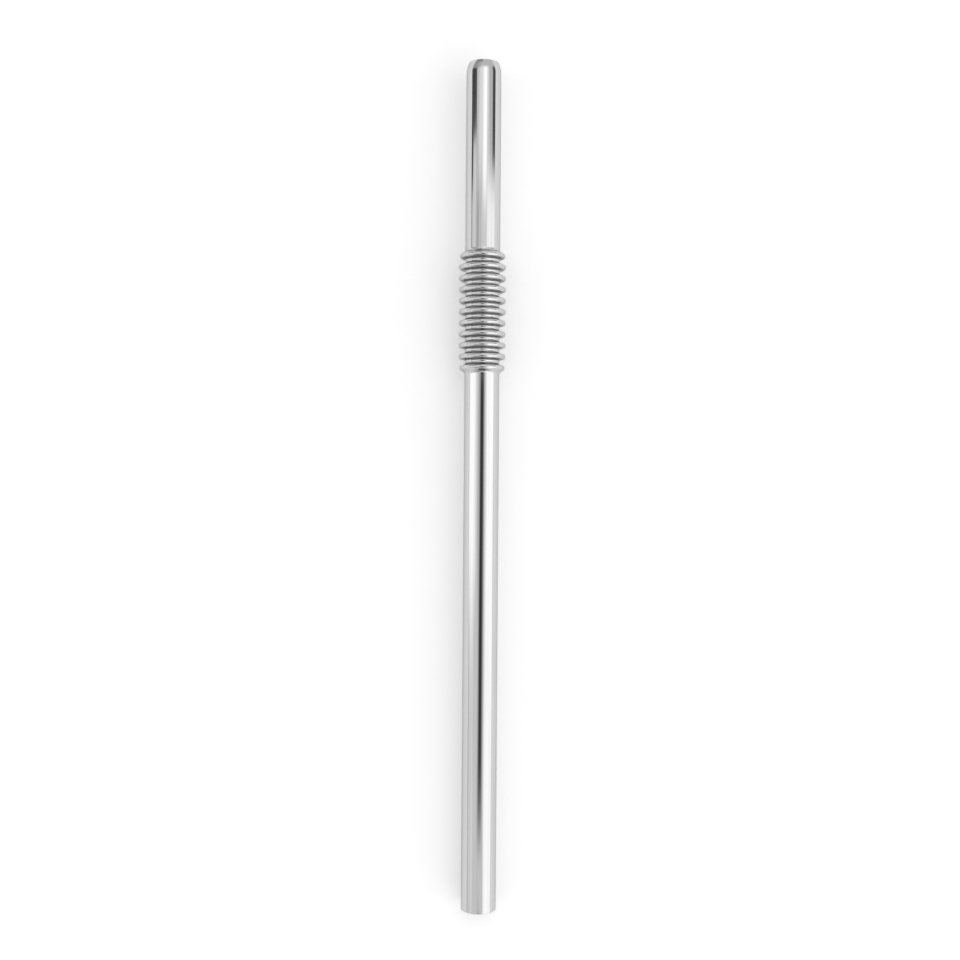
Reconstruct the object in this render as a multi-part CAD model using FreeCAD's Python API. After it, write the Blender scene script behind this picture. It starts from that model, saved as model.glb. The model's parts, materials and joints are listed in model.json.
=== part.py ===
import FreeCAD, Part
import math
import os

# A drinking straw of drawn stainless steel tube, with a bellows formed in its
# wall so that the mouth end can be bent over. It lies on a level surface along
# Y with the mouth end towards +Y, resting on its cut end and on one crest of
# the bellows. The origin is on that surface, under the middle of the straw.
#
# Outlines are drawn as (station, radius): the station runs along the straw from
# its middle, positive towards the mouth, and the radius is taken from its axis.
# Each solid that touches the surface is spun from half a flat away, so that a
# faceted copy of it lies on the middle of a flat and not on a ridge.

# ---- driving dimensions, in millimetres ----
TUBE_OD = 8.0               # the plain tube
WALL = 0.3                  # the tube's wall, the same all the way along
OVERALL_LENGTH = 193.1      # cut end to mouth end, when straight

MOUTH_LENGTH = 44.1         # centre of the nearest crest to the mouth end
NECK_DEPTH = 0.55           # how far the mouth is drawn in, on the radius
NECK_LENGTH = 2.5           # length over which it is drawn in
CUT_EDGE_ROUND = 0.1        # edges of the cut end, tumbled smooth

CREST_COUNT = 11
CREST_PITCH = 2.55
CREST_HEIGHT = 1.37         # crests above the tube's surface
END_CREST_HEIGHT = 1.17     # the first and last crest stand lower
VALLEY_DEPTH = 0.10         # valleys below the tube's surface
CREST_INSIDE_BEND = 0.28    # bend radius inside a crest
FLANK_DRAFT = 0.080         # how far a flank leans, beyond its two bends
SHOULDER_BEND = 0.67        # outside bend where an end crest meets the tube
SHOULDER_DRAFT = 0.2        # the same lean, on the gentler outer flank
COLLAR_LENGTH = 0.6         # plain tube kept at each end of the bellows

TUBE_FLAT = 7.5             # degrees of the long tube's round to one flat, when faceted
BELLOWS_FLAT = 5.0          # the same on the bellows

# ---- sizes that follow from them ----
TUBE_R = TUBE_OD / 2
MOUTH_END = OVERALL_LENGTH / 2
CUT_END = -OVERALL_LENGTH / 2
UPPER_CREST = MOUTH_END - MOUTH_LENGTH
LOWER_CREST = UPPER_CREST - (CREST_COUNT - 1) * CREST_PITCH
BELLOWS_MIDDLE = (UPPER_CREST + LOWER_CREST) / 2
CREST_BEND = CREST_INSIDE_BEND + WALL
VALLEY_BEND = CREST_PITCH / 2 - CREST_BEND - FLANK_DRAFT
SHOULDER_RUN = CREST_BEND + SHOULDER_BEND + SHOULDER_DRAFT
BELLOWS_TOP = UPPER_CREST + SHOULDER_RUN + COLLAR_LENGTH
BELLOWS_FOOT = LOWER_CREST - SHOULDER_RUN - COLLAR_LENGTH
RADIAL = (0.0, 1.0)


def point(station, radius):
    return FreeCAD.Vector(radius, station, 0)


def line(start, end):
    return Part.LineSegment(point(*start), point(*end)).toShape()


def arc(centre, radius, first, last):
    """Arc about a centre, from one direction to another by the short way."""
    middle = (first[0] + last[0], first[1] + last[1])
    length = math.hypot(*middle)
    middle = (middle[0] / length, middle[1] / length)
    ends = [point(centre[0] + radius * way[0], centre[1] + radius * way[1])
            for way in (first, middle, last)]
    return Part.Arc(*ends).toShape()


def spun(edges, start=0.0):
    """Solid turned from a closed outline about the straw's axis, from the given turn."""
    axis = FreeCAD.Vector(0, 0, 0), FreeCAD.Vector(0, 1, 0)
    solid = Part.Face(Part.Wire(edges)).revolve(*axis, 360)
    solid.rotate(*axis, start)
    return solid


# ---- the bellows: bends, outward and inward by turns, joined by flanks ----
class Bend:
    """Round bend of the wall, seen from outside: a crest, or a hollow."""

    def __init__(self, station, surface, radius, outward):
        self.side = 1 if outward else -1
        self.radius = radius
        self.centre = (station, surface - self.side * radius)

    def reach(self, depth):
        """Radius of the skin that lies the given depth below the outside."""
        return self.radius - self.side * depth

    def touch(self, normal, depth):
        reach = self.side * self.reach(depth)
        return (self.centre[0] + reach * normal[0], self.centre[1] + reach * normal[1])

    def skin(self, first, last, depth):
        start = (self.side * first[0], self.side * first[1])
        end = (self.side * last[0], self.side * last[1])
        return arc(self.centre, self.reach(depth), start, end)


def crest(index):
    is_end = index in (0, CREST_COUNT - 1)
    height = END_CREST_HEIGHT if is_end else CREST_HEIGHT
    station = LOWER_CREST + index * CREST_PITCH
    return Bend(station, TUBE_R + height, CREST_BEND, outward=True)


def valley(index):
    """Hollow between one crest and the next."""
    station = LOWER_CREST + (index + 0.5) * CREST_PITCH
    return Bend(station, TUBE_R - VALLEY_DEPTH, VALLEY_BEND, outward=False)


def bellows_bends():
    bends = [Bend(LOWER_CREST - SHOULDER_RUN, TUBE_R, SHOULDER_BEND, outward=False)]
    for index in range(CREST_COUNT - 1):
        bends += [crest(index), valley(index)]
    bends.append(crest(CREST_COUNT - 1))
    bends.append(Bend(UPPER_CREST + SHOULDER_RUN, TUBE_R, SHOULDER_BEND, outward=False))
    return bends


def flank_normal(bend, following):
    """Outward normal of the straight flank that is tangent to two bends."""
    rising = following.side > 0
    hollow, ridge = (bend, following) if rising else (following, bend)
    along = ridge.centre[0] - hollow.centre[0]
    out = ridge.centre[1] - hollow.centre[1]
    opening = math.acos(-(hollow.radius + ridge.radius) / math.hypot(along, out))
    angle = math.atan2(out, along) + (opening if rising else -opening)
    return (math.cos(angle), math.sin(angle))


def bellows_skin(bends, normals, depth):
    """One side of the bellows' wall, from its foot to its top."""
    radius = TUBE_R - depth
    edges = [line((BELLOWS_FOOT, radius), bends[0].touch(RADIAL, depth))]
    for index, bend in enumerate(bends):
        edges.append(bend.skin(normals[index], normals[index + 1], depth))
        if index < len(bends) - 1:
            normal = normals[index + 1]
            edges.append(line(bend.touch(normal, depth), bends[index + 1].touch(normal, depth)))
    edges.append(line(bends[-1].touch(RADIAL, depth), (BELLOWS_TOP, radius)))
    return edges


def bellows():
    bends = bellows_bends()
    flanks = [flank_normal(bend, following) for bend, following in zip(bends, bends[1:])]
    normals = [RADIAL] + flanks + [RADIAL]
    outside = bellows_skin(bends, normals, 0)
    inside = bellows_skin(bends, normals, WALL)
    top = line((BELLOWS_TOP, TUBE_R), (BELLOWS_TOP, TUBE_R - WALL))
    foot = line((BELLOWS_FOOT, TUBE_R - WALL), (BELLOWS_FOOT, TUBE_R))
    return spun(outside + [top] + inside[::-1] + [foot], BELLOWS_FLAT / 2)


# ---- the plain tube on each side of it ----
def long_tube():
    """Plain tube below the bellows, cut square, its edges tumbled."""
    bore_r = TUBE_R - WALL
    edge = CUT_EDGE_ROUND
    start = CUT_END + edge
    return spun([
        line((BELLOWS_FOOT, TUBE_R), (start, TUBE_R)),
        arc((start, TUBE_R - edge), edge, RADIAL, (-1, 0)),
        line((CUT_END, TUBE_R - edge), (CUT_END, bore_r + edge)),
        arc((start, bore_r + edge), edge, (-1, 0), (0, -1)),
        line((start, bore_r), (BELLOWS_FOOT, bore_r)),
        line((BELLOWS_FOOT, bore_r), (BELLOWS_FOOT, TUBE_R)),
    ], TUBE_FLAT / 2)


def mouth_tube():
    """Tube above the bellows, drawn in a little at the mouth, its rim rolled round."""
    sweep = (NECK_DEPTH ** 2 + NECK_LENGTH ** 2) / (2 * NECK_DEPTH)
    turn = math.asin(NECK_LENGTH / sweep)
    rim_r = WALL / 2
    outward = (math.sin(turn), math.cos(turn))
    onward = (math.cos(turn), -math.sin(turn))
    inward = (-outward[0], -outward[1])
    centre = (MOUTH_END - rim_r - (sweep - rim_r) * outward[0], TUBE_R - sweep)
    rim = (centre[0] + (sweep - rim_r) * outward[0], centre[1] + (sweep - rim_r) * outward[1])
    return spun([
        line((BELLOWS_TOP, TUBE_R), (centre[0], TUBE_R)),
        arc(centre, sweep, RADIAL, outward),
        arc(rim, rim_r, outward, onward),
        arc(rim, rim_r, onward, inward),
        arc(centre, sweep - WALL, outward, RADIAL),
        line((centre[0], TUBE_R - WALL), (BELLOWS_TOP, TUBE_R - WALL)),
        line((BELLOWS_TOP, TUBE_R - WALL), (BELLOWS_TOP, TUBE_R)),
    ])


# ---- how the straw comes to rest ----
def rest_slope():
    """Steepest slope from the rounded edge of the cut end to any crest."""
    edge = (CUT_END + CUT_EDGE_ROUND, TUBE_R - CUT_EDGE_ROUND)
    slopes = []
    for index in range(CREST_COUNT):
        ridge = crest(index)
        along = ridge.centre[0] - edge[0]
        out = ridge.centre[1] - edge[1]
        tangent = math.asin((ridge.radius - CUT_EDGE_ROUND) / math.hypot(along, out))
        slopes.append(math.atan2(out, along) + tangent)
    return max(slopes)


def rest_height(slope):
    """Height of the axis at the middle of the straw, above what it lies on."""
    edge = (CUT_END + CUT_EDGE_ROUND, TUBE_R - CUT_EDGE_ROUND)
    return edge[1] * math.cos(slope) - edge[0] * math.sin(slope) + CUT_EDGE_ROUND


def laid_down(solid, slope):
    solid.rotate(FreeCAD.Vector(0, 0, 0), FreeCAD.Vector(1, 0, 0), math.degrees(slope))
    solid.translate(FreeCAD.Vector(0, 0, rest_height(slope)))
    return solid


def main():
    slope = rest_slope()
    nodes = {
        "long_tube": long_tube(),
        "bellows": bellows(),
        "mouth_tube": mouth_tube(),
    }
    os.makedirs("parts", exist_ok=True)
    for name, solid in nodes.items():
        laid_down(solid, slope).exportStep(os.path.join("parts", name + ".step"))
        print(name, "volume", round(solid.Volume, 2), "mm3, valid", solid.isValid())
    print("slope", round(math.degrees(slope), 4), "deg, axis height", round(rest_height(slope), 4))
    print("stations: cut end", CUT_END, "bellows", BELLOWS_FOOT, BELLOWS_MIDDLE, BELLOWS_TOP)


main()
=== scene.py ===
import json
import math

import bpy
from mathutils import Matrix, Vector


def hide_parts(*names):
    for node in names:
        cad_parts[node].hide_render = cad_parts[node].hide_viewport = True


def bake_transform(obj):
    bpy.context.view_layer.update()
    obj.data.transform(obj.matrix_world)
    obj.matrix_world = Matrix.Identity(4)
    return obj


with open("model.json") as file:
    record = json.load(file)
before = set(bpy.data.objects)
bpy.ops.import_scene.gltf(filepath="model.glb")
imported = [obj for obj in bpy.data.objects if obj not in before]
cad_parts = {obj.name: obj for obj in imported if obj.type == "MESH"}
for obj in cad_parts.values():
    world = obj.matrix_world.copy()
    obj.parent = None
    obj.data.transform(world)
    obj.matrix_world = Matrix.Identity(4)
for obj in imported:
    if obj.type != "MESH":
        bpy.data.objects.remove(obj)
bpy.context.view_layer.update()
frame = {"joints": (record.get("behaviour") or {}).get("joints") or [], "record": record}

scene = bpy.context.scene
scene.view_settings.view_transform = "Standard"

# ---- the straw ----
# One length of drawn stainless steel tube, open from end to end, with a bellows
# formed in its wall near the mouth. The mouth is drawn in and its rim rolled
# round; the other end is cut square and tumbled. It lies on its cut end and a crest.
mounts = {mount["name"]: mount for mount in frame["record"]["mounts"]}
neck = Vector(frame["joints"][0]["pos_m"])
along = Vector(mounts["tip_seat"]["axis"]).normalized()
rest_slope = math.atan2(along.z, along.y)
tube_r = mounts["lid_seat"]["dims"]["r_mm"] / 1000
wall = tube_r - mounts["brush_bore"]["dims"]["r_mm"] / 1000

# Sizes are in metres, and those of the plain tube are the frame's, above. Stations
# run along the straw from the middle of the bellows, towards the mouth.
overall_length = 0.1931
mouth_length = 0.0441
crest_count = 11
crest_pitch = 0.00255
crest_height = 0.00137
end_crest_height = 0.00117
valley_depth = 0.0001
crest_bend = 0.00058
flank_draft = 0.00008
valley_bend = crest_pitch / 2 - crest_bend - flank_draft
shoulder_bend = 0.00067
shoulder_draft = 0.0002
shoulder_run = crest_bend + shoulder_bend + shoulder_draft
end_crest = (crest_count - 1) / 2 * crest_pitch
mouth_end = end_crest + mouth_length
cut_end = mouth_end - overall_length
neck_depth = 0.00055
neck_length = 0.0025
cut_edge = 0.0001
rim = wall / 2

# How finely each round is divided. A guard ring stands a little off each bend, so
# that the plain tube shades straight, and points or rings this close count as one.
faces_around = 128
bend_faces = 12
neck_faces = 10
cut_edge_faces = 4
rim_faces = 6
guard = 0.0003
same_point = 0.000001
same_ring = 0.00001


def outline_bends():
    """The bellows' bends from the foot up: station, surface, bend radius and side."""
    bends = [(-end_crest - shoulder_run, tube_r, shoulder_bend, -1)]
    for index in range(crest_count):
        station = index * crest_pitch - end_crest
        height = end_crest_height if index in (0, crest_count - 1) else crest_height
        bends.append((station, tube_r + height, crest_bend, 1))
        bends.append((station + crest_pitch / 2, tube_r - valley_depth, valley_bend, -1))
    bends[-1] = (end_crest + shoulder_run, tube_r, shoulder_bend, -1)
    return bends


def flank_slope(bend, following):
    """Slope of the straight flank from one bend to the next, rising or falling."""
    station, surface, bend_r, side = bend
    next_station, next_surface, next_bend_r, next_side = following
    run = next_station - station
    out = side * surface + next_side * next_surface - bend_r - next_bend_r
    lean = math.atan2(out, run) + math.asin((bend_r + next_bend_r) / math.hypot(run, out))
    return -side * lean


def draw_to(station, radius):
    """Carries the outline on in a straight line."""
    step = (0, station - pen[0], radius - pen[1])
    bpy.ops.mesh.extrude_region_move(TRANSFORM_OT_translate={"value": step})
    pen[:] = [station, radius]


def draw_round(station, radius, turn, steps):
    """Carries the outline on round a centre, by a turn from along the straw to outward."""
    run, out = pen[0] - station, pen[1] - radius
    pen[:] = [station + run * math.cos(turn) - out * math.sin(turn),
              radius + run * math.sin(turn) + out * math.cos(turn)]
    bpy.ops.mesh.spin(steps=steps, angle=-turn, center=(0, station, radius), axis=(1, 0, 0))


# The outline of the outside is drawn from a single point, from the cut end up.
bpy.ops.object.select_all(action="DESELECT")
bpy.ops.mesh.primitive_plane_add(size=wall)
straw = bpy.context.object
straw.name = "straw"
bpy.ops.object.mode_set(mode="EDIT")
bpy.ops.mesh.select_all(action="SELECT")
bpy.ops.mesh.merge(type="CENTER")
pen = [cut_end, tube_r]
bpy.ops.transform.translate(value=(0, *pen))
draw_to(cut_end + 2 * cut_edge, tube_r)
bends = outline_bends()
draw_to(bends[0][0] - guard, tube_r)
slopes = [0] + [flank_slope(*pair) for pair in zip(bends, bends[1:])] + [0]
for (station, surface, bend_r, side), before, after in zip(bends, slopes, slopes[1:]):
    centre = surface - side * bend_r
    draw_to(station - side * bend_r * math.sin(before), centre + side * bend_r * math.cos(before))
    draw_round(station, centre, after - before, bend_faces)
draw_to(bends[-1][0] + guard, tube_r)
sweep = (neck_depth ** 2 + neck_length ** 2) / (2 * neck_depth)
neck_turn = math.asin(neck_length / sweep)
neck_start = mouth_end - rim - (sweep - rim) * math.sin(neck_turn)
draw_to(neck_start - guard, tube_r)
draw_to(neck_start, tube_r)
draw_round(neck_start, tube_r - sweep, -neck_turn, neck_faces)
draw_to(pen[0] + rim * math.cos(neck_turn), pen[1] - rim * math.sin(neck_turn))

# It is turned into a skin, and the skin is given its wall.
bpy.ops.mesh.select_all(action="SELECT")
bpy.ops.mesh.remove_doubles(threshold=same_point)
bpy.ops.mesh.select_all(action="SELECT")
bpy.ops.mesh.spin(steps=faces_around, angle=2 * math.pi, center=(0, 0, 0), axis=(0, 1, 0))
bpy.ops.mesh.select_all(action="SELECT")
bpy.ops.mesh.remove_doubles(threshold=same_point)
bpy.ops.mesh.normals_make_consistent(inside=False)
bpy.ops.mesh.select_mode(type="EDGE")
bpy.ops.object.mode_set(mode="OBJECT")
solid = straw.modifiers.new("wall", "SOLIDIFY")
solid.thickness = wall
solid.offset = -1
solid.use_even_offset = True
bpy.ops.object.modifier_apply(modifier=solid.name)

# The rings at both ends are rounded. The rim's round is a little under half the
# wall, so that the one outside doesn't meet the one inside.
rim_start = mouth_end - rim * 0.55
rim_round = rim * 0.97
for nearest, furthest, round_edge, steps in (
        (cut_end - guard, cut_end + cut_edge, cut_edge, cut_edge_faces),
        (rim_start, mouth_end + guard, rim_round, rim_faces)):
    mesh = straw.data
    mesh.vertices.foreach_set("select", [False] * len(mesh.vertices))
    mesh.polygons.foreach_set("select", [False] * len(mesh.polygons))
    for edge in mesh.edges:
        ends = [mesh.vertices[index].co for index in edge.vertices]
        edge.select = (all(nearest < end.y < furthest for end in ends)
                       and abs(ends[0].y - ends[1].y) < same_ring
                       and abs(ends[0].xz.length - ends[1].xz.length) < same_ring)
    bpy.ops.object.mode_set(mode="EDIT")
    bpy.ops.mesh.bevel(offset=round_edge, segments=steps, affect="EDGES")
    bpy.ops.object.mode_set(mode="OBJECT")
bpy.ops.object.shade_smooth()

# Each point keeps its place on the straight straw, which its finish follows when
# the bellows is bent, and the points inside are marked as the bore.
points = straw.data.vertices
on_straw = straw.data.attributes.new("on_straw", "FLOAT_VECTOR", "POINT")
on_straw.data.foreach_set("vector", [axis for point in points for axis in point.co])
bore = straw.data.attributes.new("bore", "FLOAT", "POINT")
bore.data.foreach_set("value", [float(point.co.xz.dot(point.normal.xz) < 0) for point in points])
straw.rotation_euler = (rest_slope, 0, 0)
straw.location = neck
bpy.ops.object.transform_apply(location=True, rotation=True, scale=True)

# Polished steel: fine marks run lengthwise from the drawing, and the wall waves a little.
# The flanks on the crests' side to the cut end get painted shade, a darker grey standing in
# for dark reflections, and a little more roughness; the bore stays dull from end to end.
steel = bpy.data.materials.new("polished_steel")
steel.use_nodes = True
metal = steel.node_tree
shader = metal.nodes["Principled BSDF"]
shader.inputs["Metallic"].default_value = 1.0
shader.inputs["Specular Tint"].default_value = (0.7, 0.7, 0.7, 1)
spot = metal.nodes.new("ShaderNodeAttribute")
spot.attribute_name = "on_straw"
inside = metal.nodes.new("ShaderNodeAttribute")
inside.attribute_name = "bore"


def feed(tree, value, socket):
    """Gives a socket a plain number, or another node's result."""
    if isinstance(value, (int, float)):
        socket.default_value = value
    else:
        tree.links.new(value, socket)


def worked(tree, operation, *values):
    """One step of arithmetic on numbers and other nodes' results."""
    node = tree.nodes.new("ShaderNodeMath")
    node.operation = operation
    for value, socket in zip(values, node.inputs):
        feed(tree, value, socket)
    return node.outputs["Value"]


def smooth_change(tree, value, first, last, start=0, end=1):
    """Changes smoothly from start to end while a value goes from first to last."""
    node = tree.nodes.new("ShaderNodeMapRange")
    node.interpolation_type = "SMOOTHSTEP"
    numbers = {"Value": value, "From Min": first, "From Max": last, "To Min": start, "To Max": end}
    for name, number in numbers.items():
        feed(tree, number, node.inputs[name])
    return node.outputs["Result"]


def steel_marks(scale, detail):
    """Uneven marks on the straight straw, by how many go to the metre on each axis."""
    size = metal.nodes.new("ShaderNodeMapping")
    size.inputs["Scale"].default_value = scale
    noise = metal.nodes.new("ShaderNodeTexNoise")
    noise.inputs["Scale"].default_value = 1.0
    noise.inputs["Detail"].default_value = detail
    metal.links.new(spot.outputs["Vector"], size.inputs["Vector"])
    metal.links.new(size.outputs["Vector"], noise.inputs["Vector"])
    return noise.outputs["Fac"]


draw_marks = steel_marks((2600, 30, 2600), 3)
waves = steel_marks((260, 9, 260), 1)

# The painted shade lies on a flank. A flank is told by its distance from the axis, between a
# foot and a ridge that stay bright, and its side by the wave of the crests, one of which is at
# station 0.
flank_foot = (tube_r - 0.00002, tube_r + 0.0001)
flank_ridge = (tube_r + 0.0006, tube_r + 0.00115)
last_flank = (end_crest - 0.0001, end_crest)
place = metal.nodes.new("ShaderNodeSeparateXYZ")
metal.links.new(spot.outputs["Vector"], place.inputs[0])
station, across, up = (place.outputs[axis] for axis in "YXZ")
squares = [worked(metal, "MULTIPLY", offset, offset) for offset in (across, up)]
radius = worked(metal, "SQRT", worked(metal, "ADD", *squares))
phase = worked(metal, "MULTIPLY", station, 2 * math.pi / crest_pitch)
shaded_flank = smooth_change(metal, radius, *flank_foot)
for limit in (smooth_change(metal, radius, *flank_ridge, 1, 0),
              smooth_change(metal, worked(metal, "ABSOLUTE", station), *last_flank, 1, 0),
              smooth_change(metal, worked(metal, "SINE", phase), 0.5, -0.5)):
    shaded_flank = worked(metal, "MULTIPLY", shaded_flank, limit)

# How far the grey and the roughness go with the marks, and what the flanks' painted
# shade and the bore do to them.
marks_range = (0.3, 0.7)
steel_grey = (0.60, 0.64)
painted_flank_shade = 0.37
steel_roughness = (0.045, 0.085)
flank_roughness = 0.08
bore_roughness = 0.3
wave_depth = 0.00002
mark_depth = 0.000002

# The painted shade on the flanks is taken off the steel's grey here, as darker colour for dark
# reflections.
grey = worked(metal, "SUBTRACT", smooth_change(metal, draw_marks, *marks_range, *steel_grey),
              worked(metal, "MULTIPLY", shaded_flank, painted_flank_shade))
colour = metal.nodes.new("ShaderNodeCombineColor")
for channel in ("Red", "Green", "Blue"):
    metal.links.new(grey, colour.inputs[channel])
metal.links.new(colour.outputs["Color"], shader.inputs["Base Color"])
rough = smooth_change(metal, draw_marks, *marks_range, *steel_roughness)
rough = worked(metal, "ADD", rough, worked(metal, "MULTIPLY", shaded_flank, flank_roughness))
rough = worked(metal, "ADD", rough, worked(metal, "MULTIPLY", inside.outputs["Fac"], bore_roughness))
metal.links.new(rough, shader.inputs["Roughness"])
normal = None
for marks, depth in ((waves, wave_depth), (draw_marks, mark_depth)):
    relief = metal.nodes.new("ShaderNodeBump")
    relief.inputs["Distance"].default_value = depth
    metal.links.new(marks, relief.inputs["Height"])
    if normal:
        metal.links.new(normal, relief.inputs["Normal"])
    normal = relief.outputs["Normal"]
metal.links.new(normal, shader.inputs["Normal"])
straw.data.materials.append(steel)
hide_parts("long_tube", "bellows", "mouth_tube")
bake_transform(straw)

# ---- the floor ----
# A wide sheet of matt white paper that the straw lies on. It glows a little to the
# eye and in a mirror, and lights nothing, so that it looks white all over and still
# takes the straw's shadow.
floor_size = 8
paper_glow = 0.26
bpy.ops.mesh.primitive_plane_add(size=floor_size)
floor = bpy.context.object
floor.name = "floor"
paper = bpy.data.materials.new("white_paper")
paper.use_nodes = True
sheet = paper.node_tree
coat = sheet.nodes["Principled BSDF"]
coat.inputs["Base Color"].default_value = (0.9, 0.9, 0.9, 1)
coat.inputs["Roughness"].default_value = 0.9
coat.inputs["Emission Color"].default_value = (1, 1, 1, 1)
ray = sheet.nodes.new("ShaderNodeLightPath")
seen_ray = ray.outputs["Is Camera Ray"]
for kind in ("Is Glossy Ray", "Is Transmission Ray"):
    seen_ray = worked(sheet, "ADD", seen_ray, ray.outputs[kind])
feed(sheet, worked(sheet, "MULTIPLY", seen_ray, paper_glow), coat.inputs["Emission Strength"])
floor.data.materials.append(paper)

# ---- camera ----
# It looks squarely down on the straw, from over a point near the middle, and is
# turned a little so that the straw leans in its view.
eye_height = 0.2857
eye_from_mouth = 0.09515
eye_aside = -0.00024
eye_turn = math.radians(0.4)
film_width_mm = 36
lens_mm = 46.875
nearest_seen = 0.005
seen = neck + along * (mouth_end - eye_from_mouth) + Vector((eye_aside, 0, 0))
upward = Vector((0, -math.sin(rest_slope), math.cos(rest_slope)))
bpy.ops.object.camera_add(location=seen + upward * eye_height, rotation=(rest_slope, 0, eye_turn))
camera = bpy.context.object
camera.data.sensor_width = film_width_mm
camera.data.lens = lens_mm
camera.data.clip_start = nearest_seen
scene.camera = camera

# ---- studio light ----
# A white dome, dimmed or brightened in soft patches, like cards and lamps hung
# round a table. Turns are measured about the straw, in degrees from straight up to
# its right; leans from straight up towards its mouth.
world = bpy.data.worlds.new("studio")
scene.world = world
world.use_nodes = True
dome = world.node_tree
sky = dome.nodes["Background"]
sky.inputs["Color"].default_value = (1, 1, 1, 1)
way = dome.nodes.new("ShaderNodeSeparateXYZ")
dome.links.new(dome.nodes.new("ShaderNodeTexCoord").outputs["Generated"], way.inputs[0])
turn = worked(dome, "DEGREES", worked(dome, "ARCTAN2", way.outputs["X"], way.outputs["Z"]))
lean = worked(dome, "DEGREES", worked(dome, "ARCSINE", way.outputs["Y"]))
rise = worked(dome, "DEGREES", worked(dome, "ARCSINE", way.outputs["Z"]))


def patch(light, level, turns, leans):
    """Brings the light to a level inside soft edges, each given as (outside, inside)."""
    inside_edges = 1
    for value, edges in ((turn, turns), (lean, leans)):
        for edge in edges:
            inside_edges = worked(dome, "MULTIPLY", inside_edges, smooth_change(dome, value, *edge))
    node = dome.nodes.new("ShaderNodeMix")
    node.data_type = "FLOAT"
    for name, value in (("Factor", inside_edges), ("A", light), ("B", level)):
        feed(dome, value, node.inputs[name])
    return node.outputs["Result"]


# A grey card hangs overhead from end to end. Towards the cut end the left side is
# grey and the right side bright.
light = 1.55
light = patch(light, 0.58, [(-56, -8), (42, 12)], [])
light = patch(light, 0.92, [(-30, -60)], [(-1.9, -11.5)])
light = patch(light, 0.85, [(-54, -42), (-10, -24)], [(-3, -8)])
light = patch(light, 0.70, [(-66, -82)], [(-1.3, -10.2)])
light = patch(light, 1.50, [(20, 45)], [(-1.9, -12.8)])
light = patch(light, 0.88, [(-25, -8), (34, 12)], [(-15, -18)])

# Towards the mouth the left side is grey again, in bands, with a lamp overhead and
# the right side bright at first and grey further on.
light = patch(light, 0.80, [(10, -25)], [(6.3, 10.2)])
light = patch(light, 0.96, [(-42, -54)], [(9, 11)])
light = patch(light, 0.60, [(-50, -36), (-20, -30)], [(6.3, 8.9), (13.5, 11.5)])
light = patch(light, 0.52, [(-68, -80)], [(6.3, 8.9)])
light = patch(light, 0.95, [(-14, -6), (22, 14)], [(6.3, 10.2)])
light = patch(light, 1.10, [(-36, -24), (4, 0)], [(12, 14.5)])
light = patch(light, 1.60, [(-8, 4), (26, 18)], [(10.8, 13.5)])
light = patch(light, 1.38, [(14, 34)], [(6.3, 9)])
light = patch(light, 0.68, [(16, 44)], [(11.8, 14.5)])

# A black strip hangs overhead along the long tube, and three black cards past the
# mouth, which its drawn-in neck shows.
light = patch(light, 0.05, [(-14, -3), (21, 6)], [(6.5, 3.5), (-18.5, -13)])
light = patch(light, 0.08, [(-42, -50)], [(14.6, 15.4)])
light = patch(light, 0.08, [(-65, -75)], [(12.1, 13.8)])
light = patch(light, 0.08, [(55, 68)], [(13.4, 14.6)])

# The dome is dimmer well past the mouth, most of all on the left. Past the cut end
# a black card overhead and another on the left show in each crest, and the dome is
# dark low down. Leans as great as these show only in the bellows, neck and rims.
light = patch(light, 0.72, [], [(24, 40)])
light = patch(light, 0.45, [(-8, -60)], [(20, 32)])
light = patch(light, 0.85, [], [(52, 80)])
light = patch(light, 0.25, [(2, -25)], [(46, 66)])
light = patch(light, 0.08, [(-14, -5), (14, 5)], [(-18, -25), (-54, -40)])
light = patch(light, 0.05, [(-4, -32)], [(-42, -58)])
light = patch(light, 0.25, [], [(-62, -74)])

# In a band above the floor's edge the dome is plain white, as the floor is.
band_full = 6.2
band_end = 7.4
light = worked(dome, "MULTIPLY", light, smooth_change(dome, rise, band_full, band_end))
light = worked(dome, "ADD", light, smooth_change(dome, rise, band_end, band_full))
feed(dome, light, sky.inputs["Strength"])
